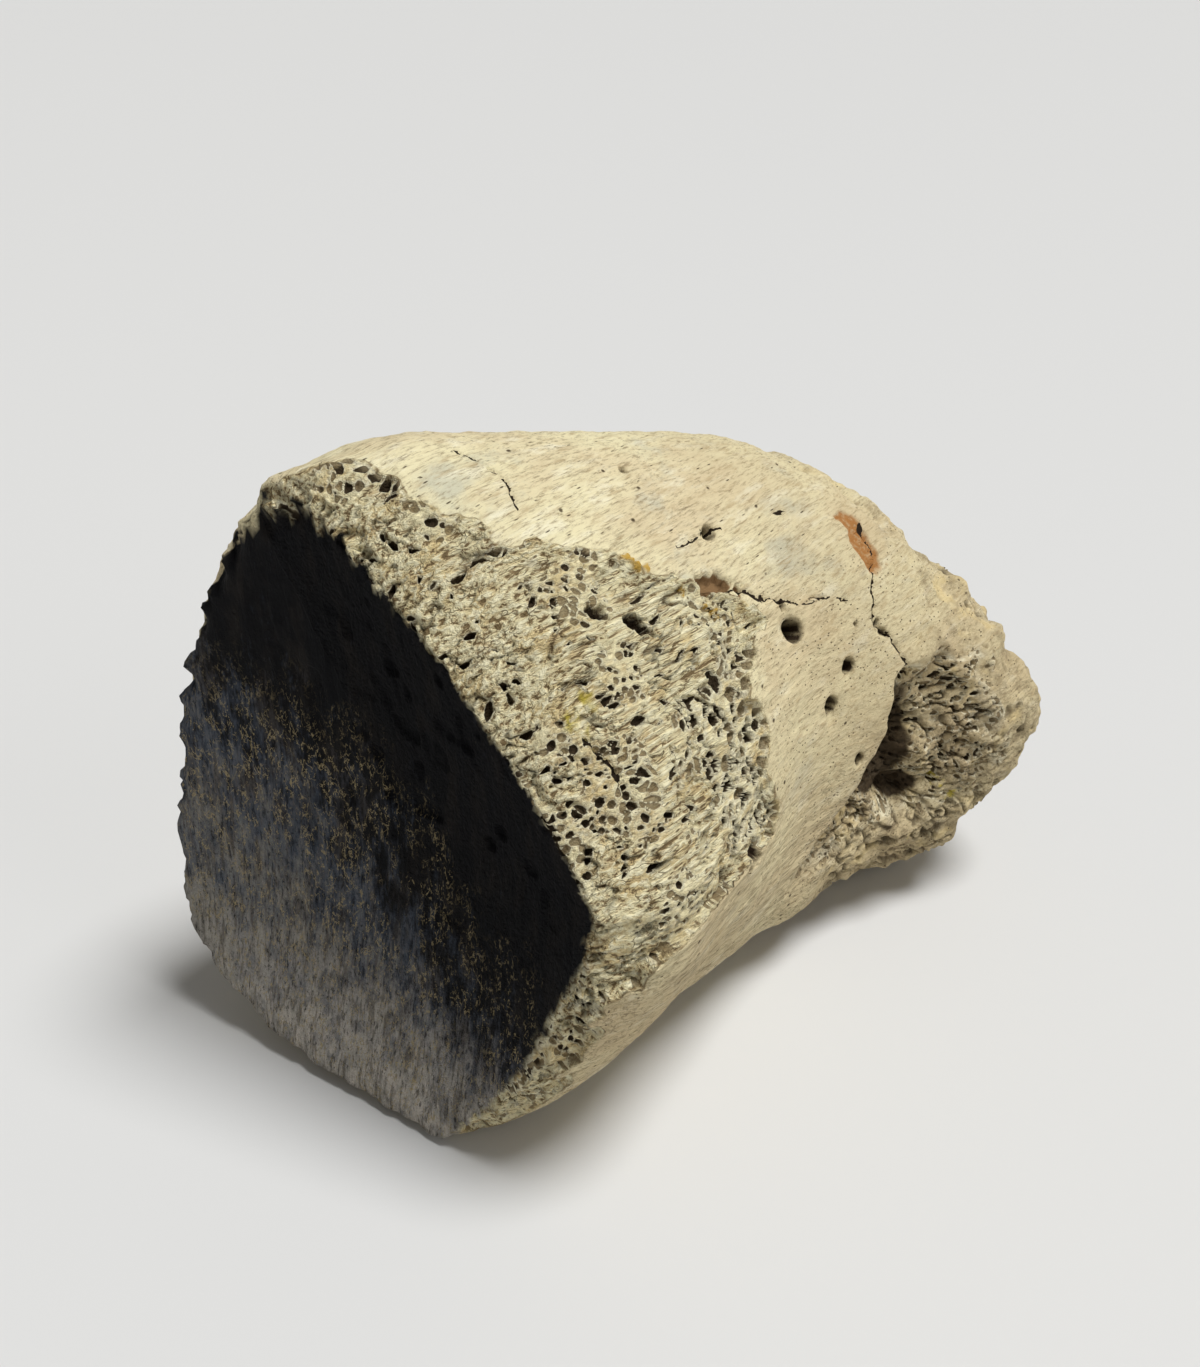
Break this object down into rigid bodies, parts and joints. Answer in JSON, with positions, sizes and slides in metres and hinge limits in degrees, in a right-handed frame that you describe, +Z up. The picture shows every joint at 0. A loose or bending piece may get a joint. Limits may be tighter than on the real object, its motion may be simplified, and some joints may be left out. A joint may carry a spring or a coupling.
{
  "type": "fossil hadrosaur toe bone",
  "caption": "Fossilised first phalanx of a hadrosaur's foot, with a shallow dark joint socket, a waisted shaft, a flaked spongy flank and rounded condyles.",
  "frame": {"origin": "middle of the bone's outer box, on the floor that it rests on", "axes": "+X along the bone from the joint socket at its ankle end to the condyles, +Z up out of the floor, -Y out of the flaked flank"},
  "size_m": [0.1106, 0.085, 0.084],
  "materials": {
    "fossil_bone": "dull"
  },
  "bodies": {
    "root": {"phalanx": "fossil_bone"}
  },
  "joints": []
}
